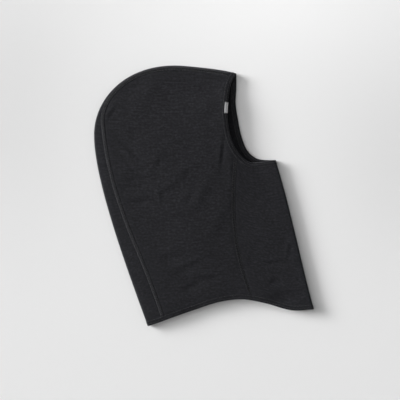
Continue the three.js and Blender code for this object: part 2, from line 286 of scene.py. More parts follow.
# Creases: middle, direction in degrees, half length, half width, and half the surface's drop
# across it, from its left side to its right
CREASES = [
    ((-141, 130), 55, 12, 3.2, 0.4), ((-110, 63), 142, 11, 3.4, 0.8),
    ((-124, 75), 142, 10, 2.4, 0.4), ((-116, 45), 147, 12, 2.4, 0.7),
    ((-92, 29), 0, 16, 4, 0.6), ((-72, 50), 60, 12, 4.5, 0.4), ((-112, 16), 0, 16, 2.6, 0.4),
    ((-98, -6), 4, 19, 3.2, 0.7), ((-67, 4), 95, 14, 3.6, 0.32), ((-53, 11), 25, 13, 4.2, 0.45),
    ((2, 3), 60, 22, 8, 0.55), ((-24, -2), 62, 16, 5, 0.3), ((-28, 36), 60, 6, 4, 0.3),
    ((27, 68), 84, 21, 2.8, 0.6), ((54, 43), 100, 12, 2.4, 0.15), ((-54, -91), 5, 19, 4.5, 0.7),
    ((-22, -106), 26, 28, 4, 0.55), ((0, -125), 2, 17, 4.2, 0.85), ((-22, -138), 24, 14, 4.2, 0.7),
    ((130, -83), 84, 10, 2.8, 0.45), ((110, -100), 8, 13, 3, 0.7), ((104, -131), 42, 10, 4, 0.4),
    ((118, -152), 12, 24, 8, 0.9), ((21, 174), 165, 8, 3, 0.25), ((-40, 110), 8, 36, 6, 0.2),
    ((-62, 186), 170, 30, 3, 0.25), ((16, 100), 4, 30, 5, 0.16), ((-6, 162), 8, 26, 7, 0.26),
    ((-100, 156), 48, 34, 13, -0.7), ((-12, 84), 92, 50, 24, -0.75), ((-44, -114), 80, 32, 28, 0.4),
    ((108, -146), 90, 18, 18, 0.3),
]
# Long waves: length, direction in degrees, phase and height
UPPER_WAVES = [(62, 25, 0.3, 0.1), (47, 112, 1.7, 0.07), (88, 160, 2.6, 0.1)]
MOUTH_WAVES = [(104, 62, 0.9, 0.5), (69, 8, 2.2, 0.3)]   # of the upper layer near the openings
LOWER_WAVES = [(76, 80, 0.4, 0.35), (131, 10, 1.9, 0.3)]   # of the lower layer near them
LOWER_LIFT = 0.65   # the mean rise of those


def on_streak(p, middle, degrees, half_length, half_width):
    """How far points lie along a streak and across it to the left, as shares of its half sizes."""
    turn = math.radians(degrees)
    dx, dy = p[..., 0] - middle[0], p[..., 1] - middle[1]
    along = dx * math.cos(turn) + dy * math.sin(turn)
    across = dy * math.cos(turn) - dx * math.sin(turn)
    return along / half_length, across / half_width


def wrinkles(p):
    total = np.zeros(p.shape[:-1])
    for *where, height in SWELLS:
        along, across = on_streak(p, *where)
        total += height * np.exp(-along**2 - across**2)
    for *where, drop in CREASES:
        along, across = on_streak(p, *where)
        total += drop * across * np.exp(0.5 - along**2 - across**2 / 2)
    return total


def ripple(p, waves):
    total = np.zeros(p.shape[:-1])
    for length, degrees, phase, height in waves:
        turn = math.radians(degrees)
        along = p[..., 0] * math.cos(turn) + p[..., 1] * math.sin(turn)
        total += height * np.sin(2 * math.pi * along / length + phase)
    return total


def past(p, line):
    """How far points lie past a line of points that goes up the plan, along x."""
    return p[..., 0] - np.interp(p[..., 1], line[:, 1], line[:, 0])


def throat_step(p):
    """The upper layer drops a little across its throat seam, and less beside the face opening."""
    beyond = past(p, throat_seam_line[RIGHT].points)
    below_face = 1 - 0.8 * ease(p[..., 1], 2, 34)
    return -STEP * np.tanh(beyond / 1.9) * np.exp(-(beyond / 20)**2) * below_face


def gusset_step(p):
    """Below the crown the side panel lies a little above the gusset strip, and then levels out."""
    line = gusset_seam_line[RIGHT].points
    beyond = past(p, line[:line[:, 1].argmax()])
    level = np.exp(-(np.maximum(beyond, 0) / 30)**2) * (1 - ease(p[..., 1], 100, 150))
    return GUSSET_STEP * (0.5 + 0.5 * np.tanh(beyond / 1.6)) * level


def outer_height(p, side):
    """Height of the hood's outer face on a side, at plan points."""
    from_back, from_throat = back_fold.distance(p), throat_fold.distance(p)
    inset = np.minimum(from_back, from_throat)
    bend = np.sqrt(np.maximum(0, FOLD_RADIUS**2 - np.maximum(0, FOLD_RADIUS - inset)**2))
    from_face, from_neck = face_edge[side].distance(p), neck_edge.distance(p)
    from_mouth = np.minimum(from_face, from_neck)
    away_from_fold = ease(inset, FOLD_RADIUS, FREE)
    if side == LEFT:
        lift = ripple(p, LOWER_WAVES) + LOWER_LIFT
        z = FOLD_RADIUS - bend * (1 - REST / FOLD_RADIUS)
        return z + lift * away_from_fold * np.exp(-from_mouth / 12)
    top = mix(NECK_LOFT, LOFT, ease(from_neck, 0, MOUTH_SPREAD))
    beyond_face = ease(from_face, 0, MOUTH_SPREAD)
    rise = 1
    for from_fold, beside_face in ((from_back, BROW_SPREAD), (from_throat, CHIN_SPREAD)):
        spread = mix(beside_face, LOFT_SPREAD, beyond_face)
        rise = rise * ease(from_fold, FOLD_RADIUS, FOLD_RADIUS + spread)
    z = FOLD_RADIUS + bend + (top - 2 * FOLD_RADIUS) * rise
    z += (BACK_SWELL * ease(from_back, FOLD_RADIUS, STRIP)
          + SHOULDER * ease(from_back, 1.2, 10))
    z += throat_step(p) * away_from_fold + gusset_step(p)
    z += wrinkles(p) * ease(inset, 1, 14)
    z += ripple(p, UPPER_WAVES) * away_from_fold
    return z + ripple(p, MOUTH_WAVES) * away_from_fold * np.exp(-from_mouth / 26)


def gusset_line(side):
    s = np.linspace(0, back_fold.length, 240)
    return Line(gusset_point(side, s, np.zeros_like(s)))


gusset_seam_line = {side: gusset_line(side) for side in (RIGHT, LEFT)}


def seam_dip(p, side):
    """How far the cloth sinks towards the seams that hold it."""
    to_seam = np.minimum(gusset_seam_line[side].distance(p), throat_seam_line[side].distance(p))
    return SEAM_DIP * np.exp(-(np.maximum(to_seam - SEAM_HALF, 0) / 2.5)**2)


def on_hood(p, side):
    """Plan points with their height on the outer surface."""
    return np.concatenate([p, outer_height(p, side)[..., None]], -1)


# Meshes


def outwards(grid, ring=False):
    """Unit normals of a grid of points, whose columns times rows point outwards."""
    if ring:
        along = np.roll(grid, -1, 0) - np.roll(grid, 1, 0)
    else:
        along = np.gradient(grid, axis=0)
    normal = np.cross(np.gradient(grid, axis=1), along)
    return normal / np.maximum(np.linalg.norm(normal, axis=-1, keepdims=True), 1e-9)


def quads(rows, columns, ring_rows=False, ring_columns=False):
    """The faces of a grid, wound outwards. Rings close it on itself."""
    i = np.arange(rows if ring_rows else rows - 1)[:, None]
    j = np.arange(columns if ring_columns else columns - 1)[None]
    i2, j2 = (i + 1) % rows, (j + 1) % columns
    corners = [i * columns + j, i * columns + j2, i2 * columns + j2, i2 * columns + j]
    return np.stack(np.broadcast_arrays(*corners), -1).reshape(-1, 4)


def tube_faces(rows, columns, ring=False):
    """The faces of rings of points, closed on itself or with flat ends."""
    faces = quads(rows, columns, ring_rows=ring, ring_columns=True).tolist()
    if not ring:
        last = (rows - 1) * columns
        faces += [list(range(columns))[::-1], list(range(last, last + columns))]
    return faces


def around(beside, up, sides):
    """The angles of a thread's corners, and the ways out to them from points along its middle."""
    turn = np.arange(sides) * 2 * math.pi / sides
    return turn, np.cos(turn)[:, None] * beside[:, None] + np.sin(turn)[:, None] * up[:, None]


class Solid:
    """Points in millimetres, faces, a texture position for each point, and a material number
    for each face, gathered into one mesh."""

    def __init__(self):
        self.points, self.faces, self.uv, self.looks, self.count = [], [], [], [], 0

    def add(self, points, faces, uv=None, look=0):
        points = np.asarray(points, float).reshape(-1, 3)
        self.points.append(points)
        self.uv.append(points[:, :2] if uv is None else np.asarray(uv, float).reshape(-1, 2))
        self.faces += [[int(k) + self.count for k in f] for f in faces]
        self.looks += [look] * len(faces)
        self.count += len(points)

    def make(self, name, materials):
        mesh = bpy.data.meshes.new(name)
        mesh.from_pydata((np.vstack(self.points) * MM).tolist(), [], self.faces)
        for material in materials:
            mesh.materials.append(material)
        mesh.polygons.foreach_set("material_index", self.looks)
        mesh.polygons.foreach_set("use_smooth", [True] * len(self.faces))
        layer = mesh.uv_layers.new(name="knit")
        corner = np.empty(len(mesh.loops), int)
        mesh.loops.foreach_get("vertex_index", corner)
        layer.data.foreach_set("uv", (np.vstack(self.uv)[corner] * MM).ravel())
        mesh.update()
        piece = bpy.data.objects.new(name, mesh)
        scene.collection.objects.link(piece)
        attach(piece, "root")
        return piece


def add_cloth(solid, grid, uv, thickness=CLOTH):
    """A closed sheet under a grid of points on its outer face."""
    rows, columns = grid.shape[:2]
    normal = outwards(grid)
    layer = quads(rows, columns)
    under = rows * columns
    solid.add(np.stack([grid, grid - normal * thickness]), [], np.stack([uv, uv]))
    start = solid.count - 2 * under
    i, j = np.arange(rows), np.arange(columns)
    border = np.concatenate([
        j[:-1], i[:-1] * columns + columns - 1, under - 1 - j[:-1], (rows - 1 - i[:-1]) * columns])
    after = np.roll(border, -1)
    rim = np.stack([after, border, border + under, after + under], -1)
    for block in (layer, layer[:, ::-1] + under, rim):
        solid.faces += (block + start).tolist()
        solid.looks += [0] * len(block)


def add_tube(solid, path, up, radius, look=0, ring=False):
    """A thread along a path. up is a direction across it at each point."""
    sides = 5
    along = unit(np.roll(path, -1, 0) - np.roll(path, 1, 0) if ring else np.gradient(path, axis=0))
    beside = unit(np.cross(along, up))
    turn, out = around(beside, np.cross(beside, along), sides)
    uv = np.stack(np.broadcast_arrays(turn[None], lengths_to(path)[:, None]), -1)
    solid.add(path[:, None] + radius * out, tube_faces(len(path), sides, ring), uv, look)


def add_stitches(solid, middle, along, up, length, radius, rise, look=0):
    """Short stitches, each a bowed thread whose ends go into the cloth."""
    shares = np.array([-1, -0.86, -0.45, 0, 0.45, 0.86, 1])
    width = np.array([0.35, 0.8, 1, 1, 1, 0.8, 0.35]) * radius
    sides, sunk = 6, 0.1
    reach = (shares * length / 2)[:, None]
    path = middle[:, None] + along[:, None] * reach
    path = path + up[:, None] * ((1 - shares**2) * rise - sunk)[:, None]
    turn, out = around(np.cross(along, up), up, sides)
    points = path[:, :, None] + out[:, None] * width[:, None, None]
    one = tube_faces(len(shares), sides)
    each = len(shares) * sides
    faces = [[k + i * each for k in f] for i in range(len(middle)) for f in one]
    uv = np.stack([np.broadcast_to(a, points.shape[:3]) for a in (turn, reach)], -1)
    solid.add(points, faces, uv, look)


# Materials


def put(tree, kind, sockets=(), **settings):
    """Adds a node, with values or links for its sockets, and returns it."""
    node = tree.nodes.new(kind)
    for key, value in settings.items():
        setattr(node, key, value)
    for key, value in dict(sockets).items():
        if isinstance(value, bpy.types.NodeSocket):
            tree.links.new(value, node.inputs[key])
        else:
            node.inputs[key].default_value = value
    return node


def sums(tree, operation, *values):
    return put(tree, "ShaderNodeMath", dict(enumerate(values)), operation=operation).outputs[0]


def weighted(tree, *terms):
    """The sum of some values times their weights."""
    parts = [value if weight == 1 else sums(tree, "MULTIPLY", value, weight)
             for value, weight in terms]
    total = parts[0]
    for part in parts[1:]:
        total = sums(tree, "ADD", total, part)
    return total


def material(name, roughness, sheen=0.0, specular=0.5):
    """A material with its shader, whose even values are set on the shader itself."""
    made = bpy.data.materials.new(name)
    made.use_nodes = True
    shader = made.node_tree.nodes["Principled BSDF"]
    values = {"Roughness": roughness, "Sheen Weight": sheen, "Sheen Roughness": 0.4,
              "Specular IOR Level": specular}
    for socket, value in values.items():
        shader.inputs[socket].default_value = value
    return made, made.node_tree, shader


def texture(tree, unit_x, unit_y):
    """The place on the cloth, and its two coordinates counted in units given in millimetres."""
    where = put(tree, "ShaderNodeUVMap", uv_map="knit").outputs[0]
    axes = put(tree, "ShaderNodeSeparateXYZ", {"Vector": where})
    x, y = (sums(tree, "MULTIPLY", axes.outputs[k], 1 / (size * MM))
            for k, size in zip("XY", (unit_x, unit_y)))
    return where, x, y


def noise(tree, where, scale, detail=2.0, roughness=0.5):
    """Noise whose grain has a size of 1 / scale metres along each texture direction."""
    placed = put(tree, "ShaderNodeMapping", {"Vector": where, "Scale": (*scale, 1.0)})
    return put(tree, "ShaderNodeTexNoise", {
        "Vector": placed.outputs[0], "Scale": 1.0, "Detail": detail, "Roughness": roughness,
    }).outputs["Fac"]


def coloured(tree, shader, factor, *stops, shade=1.0):
    """Colours the shader by a ramp with (place, (red, green, blue)) stops, times a shade."""
    ramp = put(tree, "ShaderNodeValToRGB", {"Fac": factor})
    elements = ramp.color_ramp.elements
    for i, (place, colour) in enumerate(stops):
        element = elements[i] if i < 2 else elements.new(place)
        element.position = place
        element.color = (*(shade * c for c in colour), 1)
    tree.links.new(ramp.outputs["Color"], shader.inputs["Base Color"])


def bumped(tree, shader, height, strength, distance):
    """Gives the shader a fine relief. distance is in millimetres."""
    bump = put(tree, "ShaderNodeBump", {
        "Strength": strength, "Distance": distance * MM, "Height": height})
    tree.links.new(bump.outputs[0], shader.inputs["Normal"])


def knit_material(name, shade=1.0):
    """Fine interlock: rows of small V loops, with mixed darker and lighter fibres."""
    wale, course = 1.15, 0.92   # width and height of one loop
    made, tree, shader = material(name, roughness=0.92, sheen=0.24, specular=0.16)
    shader.inputs["Sheen Tint"].default_value = (0.97, 0.98, 1.06, 1)
    where, u, v = texture(tree, wale, course)
    side = sums(tree, "ABSOLUTE", sums(tree, "SUBTRACT", sums(tree, "FRACT", u), 0.5))
    slant = sums(tree, "ADD", v, sums(tree, "MULTIPLY", side, 1.1))
    loop = sums(tree, "SINE", sums(tree, "MULTIPLY", slant, 2 * math.pi))
    groove = sums(tree, "COSINE", sums(tree, "MULTIPLY", side, 2 * math.pi))
    relief = weighted(tree, (loop, 0.45), (groove, -0.55))

    streak = noise(tree, where, (60, 400), roughness=0.6)
    grain = noise(tree, where, (250, 330), detail=1.0)
    fleck = noise(tree, where, (700, 900), roughness=0.7)
    blotch = sums(tree, "SUBTRACT", noise(tree, where, (24, 34)), 0.5)
    # The loops' relief also tints the colour, lighter on the loops and darker in the grooves
    # between them: painted light and painted shade.
    tone = weighted(
        tree, (streak, 0.34), (grain, 0.42), (fleck, 0.24), (blotch, 0.06), (relief, 0.035))
    coloured(tree, shader, tone, (0.32, (0.0048, 0.0049, 0.006)), (0.68, (0.0225, 0.0227, 0.0265)),
             (0.5, (0.0104, 0.0105, 0.0126)), shade=shade)

    fuzz = noise(tree, where, (2600, 2600), detail=3.0, roughness=0.65)
    height = weighted(tree, (relief, 0.5), (fuzz, 0.9), (streak, 0.9))
    bumped(tree, shader, height, strength=0.55, distance=0.35)
    return made


def thread_material(name, shade=1.0):
    """Textured thread: fine twisted strands. Its colour, lighter than the cloth's, is a painted
    highlight for the light that catches raised threads.
    """
    made, tree, shader = material(name, roughness=0.7, sheen=0.2, specular=0.25)
    where, turn, along = texture(tree, 1, 0.45 / (2 * math.pi))
    twist = sums(tree, "SINE", sums(tree, "ADD", sums(tree, "MULTIPLY", turn, 2.0), along))
    # The twist tints the colour too, lighter on each strand's crown: painted light and painted
    # shade.
    tone = weighted(tree, (twist, 0.2), (noise(tree, where, (700, 500)), 1))
    coloured(tree, shader, tone, (0.25, (0.022, 0.022, 0.0235)), (0.8, (0.062, 0.062, 0.066)),
             shade=shade)
    bumped(tree, shader, twist, strength=0.5, distance=0.08)
    return made


def label_material(name):
    """Plain light grey tape: fine warp ribs, darker woven ends and one plain stripe along it."""
    stripe_middle, stripe_half, end_width = 2.6, 0.55, 0.8
    made, tree, shader = material(name, roughness=0.55, sheen=0.15, specular=0.4)
    where, across, along = texture(tree, 1, 1)
    warp = sums(tree, "SINE", sums(tree, "MULTIPLY", across, 2 * math.pi / 0.32))
    weft = sums(tree, "SINE", sums(tree, "MULTIPLY", along, 2 * math.pi / 0.24))
    weave = sums(tree, "MULTIPLY", warp, weft)
    from_stripe = sums(tree, "ABSOLUTE", sums(tree, "SUBTRACT", across, stripe_middle))
    stripe = sums(tree, "LESS_THAN", from_stripe, stripe_half)
    from_middle = sums(tree, "ABSOLUTE", along)
    border = sums(tree, "GREATER_THAN", from_middle, LABEL_LONG / 2 - end_width)
    grain = noise(tree, where, (900, 5200))
    # The weave tints the colour too, lighter where it stands higher and darker where it sinks:
    # painted light and painted shade.
    tone = weighted(tree, (weave, 0.1), (grain, 1), (stripe, -0.2), (border, -0.2))
    coloured(tree, shader, tone, (0.0, (0.11, 0.11, 0.115)), (0.75, (0.6, 0.6, 0.61)))
    bumped(tree, shader, weave, strength=0.6, distance=0.08)
    return made


# The panels are one cloth. The side panels' knit, which the seams share, is a little darker as
# painted shade, and the throat panel's a little lighter as painted light, to even out how the light
# falls on their slopes.
knit = knit_material("charcoal_knit_painted_shade", shade=0.95)
gusset_knit = knit_material("charcoal_gusset_knit", shade=1.0)
throat_knit_painted_light = knit_material("charcoal_throat_knit_painted_light", shade=1.1)
hem_knit = knit_material("charcoal_hem_knit", shade=0.97)
# The gusset seams' thread keeps the full lighter thread colour: a painted highlight along those
# seams.
seam_thread = thread_material("seam_thread")
throat_thread = thread_material("throat_thread", shade=0.45)
hem_thread = thread_material("hem_thread", shade=0.72)
label_weave = label_material("label_weave")


# Panels


def spaced(points, shares):
    """Points at shares of the length of a line."""
    line = Line(points)
    return line.at(np.asarray(shares) * line.length)


def hem_trace(mouth, side, start, end, count=300):
    return mouth.point(side, np.linspace(start, end, count), HEM_WIDTH - TUCK)


def patch(bottom, top, left, right, shares):
    """The plan points of a four-sided patch between its borders: rows go from bottom to top.
    shares says where its columns lie."""
    u, v = shares[None, :, None], np.linspace(0, 1, len(left))[:, None, None]
    across = mix(bottom[None], top[None], v)
    along = mix(left[:, None], right[:, None], u)
    corners = mix(mix(bottom[0], bottom[-1], u), mix(top[0], top[-1], u), v)
    return across + along - corners


def panel_grid(plan, side):
    """A panel's outer face, which sinks beside its seams."""
    grid = on_hood(plan, side)
    grid[..., 2] -= seam_dip(plan, side) * side
    return grid


def side_panel(name, side, columns=130, rows=180):
    """A side panel, whose four borders are the neck hem, the crown and the back of the gusset seam,
    and the face hem with the throat seam."""
    beside = SEAM_HALF - TUCK
    crown_start = 0.59   # as a share of the gusset seam
    low, high, at_neck, at_face = span(gusset_seam, side, beside)
    throat_low, throat_high, throat_neck, throat_face = span(throat_seam, side, beside)
    corner = mix(low, high, crown_start)

    def on_gusset(start, end, count):
        s = np.linspace(start, end, count)
        return gusset_point(side, s, np.full_like(s, beside))

    s = np.linspace(throat_low, throat_high, 300)
    front = np.vstack([
        throat_point(side, s, np.full_like(s, beside)),
        hem_trace(face, side, throat_face, at_face)[1:]])
    shares = np.linspace(0, 1, columns)
    plan = patch(
        spaced(hem_trace(neck, side, at_neck, throat_neck), shares),
        on_gusset(corner, high, columns),
        on_gusset(low, corner, rows),
        spaced(front, np.linspace(0, 1, rows)),
        shares,
    )
    grid, uv = panel_grid(plan, side), plan
    if side == LEFT:
        grid, uv = grid[:, ::-1], uv[:, ::-1]
    solid = Solid()
    add_cloth(solid, grid, uv)
    return solid.make(name, [knit])


def fold_shares(width, flat_steps, bend_steps=9):
    """Shares from a seam to a fold, closer together on the fold's bend."""
    flat = np.linspace(0, width - FOLD_RADIUS, flat_steps, endpoint=False)
    turn = np.linspace(math.pi / 2, 0, bend_steps)
    return np.concatenate([flat, width - FOLD_RADIUS * (1 - np.cos(turn))]) / width


def folded_panel(name, seam, fold_end, width, flat_steps, rows, cloth):
    """A panel from a seam on one layer, round a fold, to the seam on the other. fold_end says
    which end of a hem's edge lies at the fold, and width is about the panel's half width."""
    fold = folds[fold_end]
    beside = -(SEAM_HALF - TUCK)
    inset = HEM_WIDTH - TUCK
    shares = fold_shares(width, flat_steps)
    halves = {}
    for side in (LEFT, RIGHT):
        low, high, at_neck, at_face = span(seam, side, beside)
        at_fold = [fold_end * mouth.edge(side).length for mouth in (neck, face)]
        s = np.linspace(low, high, rows)
        plan = patch(
            spaced(hem_trace(neck, side, at_neck, at_fold[0]), shares),
            spaced(hem_trace(face, side, at_face, at_fold[1]), shares),
            seam.at(side, s, np.full_like(s, beside)),
            fold.at(np.linspace(inset, fold.length - inset, rows)),
            shares,
        )
        grid = panel_grid(plan, side)
        # Texture runs across the strip from the fold, and along it.
        gap = np.linalg.norm(plan - plan[:, -1:], axis=-1)
        travelled = np.linspace(0, fold.length, rows)[:, None]
        uv = np.stack(np.broadcast_arrays(gap * side, travelled), -1)
        halves[side] = (grid, uv)
    first, second = (LEFT, RIGHT) if fold is back_fold else (RIGHT, LEFT)
    joined = [np.concatenate([a, b[:, ::-1][:, 1:]], 1)
              for a, b in zip(halves[first], halves[second])]
    solid = Solid()
    add_cloth(solid, *joined)
    return solid.make(name, [cloth])


# Seams, hems and threads


def between(grid, row, column):
    """Values of a grid at fractional rows and columns. A row past the last is the first again."""
    i, j = np.floor(row).astype(int), np.minimum(column.astype(int), grid.shape[1] - 2)
    fi, fj = (row - i)[..., None], (column - j)[..., None]
    i, i2 = i % len(grid), (i + 1) % len(grid)
    return mix(mix(grid[i, j], grid[i2, j], fi), mix(grid[i, j + 1], grid[i2, j + 1], fi), fj)


def zigzag(count, low, high):
    """Places across a strip at each quarter of a stitch, going from side to side."""
    return mix(low, high, 0.5 - 0.5 * np.cos(np.arange(count) * math.pi / 2))


def flatlock(name, seam, side, thread, pitch=0.6):
    """Two butted edges bound with threads: a low ridge, two rows of stitches and a web."""
    needle_row, spare = 0.72, 2   # share of the half width, and length left free at each end
    low, high, *_ = span(seam, side, 0.0)
    rows = int((high - low) / pitch)
    s = np.linspace(low, high, rows)
    outside = np.array([-1, -0.92, -0.8, -0.62, -0.42, -0.2, 0, 0.2, 0.42, 0.62, 0.8, 0.92, 1])
    across = outside * SEAM_HALF
    starts, ends = np.array([span(seam, side, a)[:2] for a in across]).T
    stations = mix(starts, ends, np.linspace(0, 1, rows)[:, None])
    base = on_hood(seam.at(side, stations, np.broadcast_to(across, stations.shape)), side)
    # The columns run the way that makes the grid face outwards.
    order = 1 if (seam is gusset_seam) == (side == RIGHT) else -1
    base, outside = base[:, ::order], outside[::order]
    up = outwards(base)

    # The ridge, with a groove where the edges meet and a dimple at each needle hole
    wave = 0.5 - 0.5 * np.cos(2 * math.pi * (s - low) / STITCH)
    # The upper gusset seam's crest leans towards the side panel.
    crest = 0.12 if seam is gusset_seam and side == RIGHT else 0
    leaning = (outside - crest) / np.where(outside < crest, 1 + crest, 1 - crest)
    ridge = (RIDGE[seam.name] * np.cos(leaning * math.pi / 2)**1.3
             - GROOVE[seam.name] * np.exp(-(outside / 0.24)**2))
    dimples = np.exp(-((np.abs(outside) - needle_row) / 0.14)**2)
    height = ridge[None] - 0.1 * dimples[None] * (1 - wave[:, None]) - 0.1
    if side == LEFT:
        height = height * REST / 2 / RIDGE[seam.name]
    elif seam is gusset_seam:
        # It is a little uneven along its length, and flattens over the crown.
        uneven = 1 + 0.3 * np.sin(s / 6.1 + 0.7) * np.sin(s / 23) + 0.16 * np.sin(s / 2.9)
        height = height * (uneven * mix(1, 0.25, ease(s, *CROWN_REACH)))[:, None]
    top = base + up * height[..., None]
    under = base - up * (CLOTH + 0.25)
    section = np.concatenate([top, under[:, ::-1]], 1)
    uv = np.stack(np.broadcast_arrays(
        np.concatenate([outside, outside[::-1]])[None] * SEAM_HALF, s[:, None]), -1)
    solid = Solid()
    solid.add(section, tube_faces(*section.shape[:2]), uv)

    def over(stations, share, rise):
        """Points over the ridge at lengths along it and shares across it, with their normals."""
        row = np.clip((stations - low) / (high - low) * (rows - 1), 0, rows - 1.001)
        column = np.interp(share * order, outside * order, np.arange(len(outside)))
        normal = between(up, row, column)
        return between(top, row, column) + normal * rise, normal

    sink = THREAD_SINK[seam.name]
    count = int((high - low - 2 * spare) / STITCH)
    middles = low + spare + STITCH * (np.arange(count) + 0.5)
    for share in (-needle_row, needle_row):
        middle, normal = over(middles, share, 0.05 - sink)
        ahead, _ = over(middles + 0.8, share, 0.05 - sink)
        add_stitches(solid, middle, unit(ahead - middle), normal, STITCH * 0.86, THREAD * 1.25,
                     0.16, look=1)
    web = low + spare + STITCH / 4 * np.arange(count * 4 - 2)
    path, normal = over(web, zigzag(len(web), -0.7, 0.7), 0.12 - sink)
    add_tube(solid, path, normal, THREAD * 0.9, look=1)
    return solid.make(name, [knit, thread])


def hem_stations(length, pitch=0.62, bend_steps=7):
    """Lengths along an edge, closer together where it turns round a fold at each end."""
    turn = np.arange(bend_steps) * math.pi / 2 / bend_steps
    bend = FOLD_RADIUS * (1 - np.cos(turn))
    straight = np.linspace(FOLD_RADIUS, length - FOLD_RADIUS, int(length / pitch))
    return np.concatenate([bend, straight, length - bend[::-1]])


class HemBase:
    """The outer surface under a hem: points and normals by station round the ring and by inset.
    travelled is the length round the ring to each station, and stitch is what divides it evenly."""

    def __init__(self, mouth):
        self.insets = np.array([8.5, 8.1, 7.6, 7.1, 6.6, 6, 5.2, 4.4, 3.8, 3.35, 2.9, 2.45, 2, 1.4,
                                0.95, 0.6, 0.3, 0.1, 0, -0.6])
        halves = {}
        for side in (RIGHT, LEFT):
            stations = hem_stations(mouth.edge(side).length)
            plan = mouth.point(side, stations[:, None], self.insets[None])
            grid = on_hood(plan, side)
            if side == RIGHT:
                from_fold = np.minimum(stations, mouth.edge(side).length - stations)
                outside = np.clip(1 - self.insets / HEM_WIDTH, 0, 1)
                grid[..., 2] -= DROOP * ease(from_fold, 3, FREE)[:, None] * outside**1.3
            halves[side] = (grid, stations)
        turned = RIGHT if mouth is face else LEFT
        grids, self.side, self.station = [], [], []
        for side in (RIGHT, LEFT):
            grid, stations = halves[side]
            if side == turned:
                grid, stations = grid[::-1], stations[::-1]
            grids.append(grid[:-1])
            self.side += [side] * (len(grid) - 1)
            self.station += list(stations[:-1])
        self.grid = np.concatenate(grids)
        self.up = outwards(self.grid, ring=True)
        middle = self.grid[:, list(self.insets).index(4.4)]
        self.travelled = lengths_to(np.vstack([middle, middle[:1]]))
        self.length = self.travelled[-1]
        self.stitch = self.length / round(self.length / STITCH)

    def surface(self, row, inset, depth):
        """Points under the surface and their normals, by fractional row, inset and depth."""
        column = np.interp(-inset, -self.insets, np.arange(len(self.insets)))
        normal = between(self.up, row, column)
        return between(self.grid, row, column) - normal * np.asarray(depth)[..., None], normal

    def row_at(self, travelled):
        return np.interp(travelled % self.length, self.travelled, np.arange(len(self.travelled)))


def hem_depth(inset, between_stitches):
    """How far a hem's outer face lies below the surface: its edge is rounded, it swells between
    the rows of stitches and it sinks at each needle hole."""
    radius = HEM / 2
    edge = radius - np.sqrt(np.maximum(0, radius**2 - np.maximum(0, radius - inset)**2))
    between_rows = np.clip((inset - NEEDLE_ROWS[0]) / (NEEDLE_ROWS[1] - NEEDLE_ROWS[0]), 0, 1)
    swell = 0.14 * np.sin(between_rows * math.pi) + 0.1 * np.exp(-((inset - 1.3) / 0.8)**2)
    swell += 0.26 * ease(HEM_WIDTH - inset, 0, 1.5)
    sink = sum(np.exp(-((inset - row) / 0.5)**2) for row in NEEDLE_ROWS)
    return edge - swell + sink * (0.08 + 0.16 * between_stitches)


def hem_piece(name, base):
    insets = base.insets[:-1]
    beat = 0.5 + 0.5 * np.cos(2 * math.pi * base.travelled[:-1, None] / base.stitch)
    depth = hem_depth(insets[None], beat)
    row, inset = np.broadcast_arrays(np.arange(len(base.grid))[:, None], insets[None])
    outer, _ = base.surface(row, inset, depth)
    inner_depth = HEM - 0.55 * hem_depth(insets[None], 0)
    inner, _ = base.surface(row, inset, np.maximum(inner_depth, depth + 0.02))
    section = np.concatenate([outer, inner[:, ::-1][:, 1:]], 1)
    round_edge = np.concatenate([insets, -insets[::-1][1:]])
    uv = np.stack(np.broadcast_arrays(base.travelled[:-1, None], round_edge[None]), -1)
    solid = Solid()
    solid.add(section, tube_faces(*section.shape[:2], ring=True), uv)
    return solid.make(name, [hem_knit])


def coverstitch(name, base):
    """Two rows of needle stitches outside the hem, and the threads that loop inside it."""
    solid = Solid()
    count = round(base.length / base.stitch)
    middles = (np.arange(count) + 0.5) * base.stitch
    for inset in NEEDLE_ROWS:
        depth = hem_depth(inset, 0) - 0.05
        middle, normal = base.surface(base.row_at(middles), inset, depth)
        ahead, _ = base.surface(base.row_at(middles + 0.6), inset, depth)
        add_stitches(solid, middle, unit(ahead - middle), normal, base.stitch * 0.84, THREAD, 0.12)
    rows = base.row_at(np.arange(count * 4) * base.stitch / 4)
    below = HEM + 0.05
    for start, depth in ((0, below), (2, below + 0.15)):
        inset = zigzag(len(rows) + start, *NEEDLE_ROWS)[start:]
        path, normal = base.surface(rows, inset, depth)
        add_tube(solid, path, -normal, THREAD * 0.8, ring=True)
    for inset in NEEDLE_ROWS:
        path, normal = base.surface(rows, inset, below + 0.1)
        add_tube(solid, path, -normal, THREAD, ring=True)
    return solid.make(name, [hem_thread])


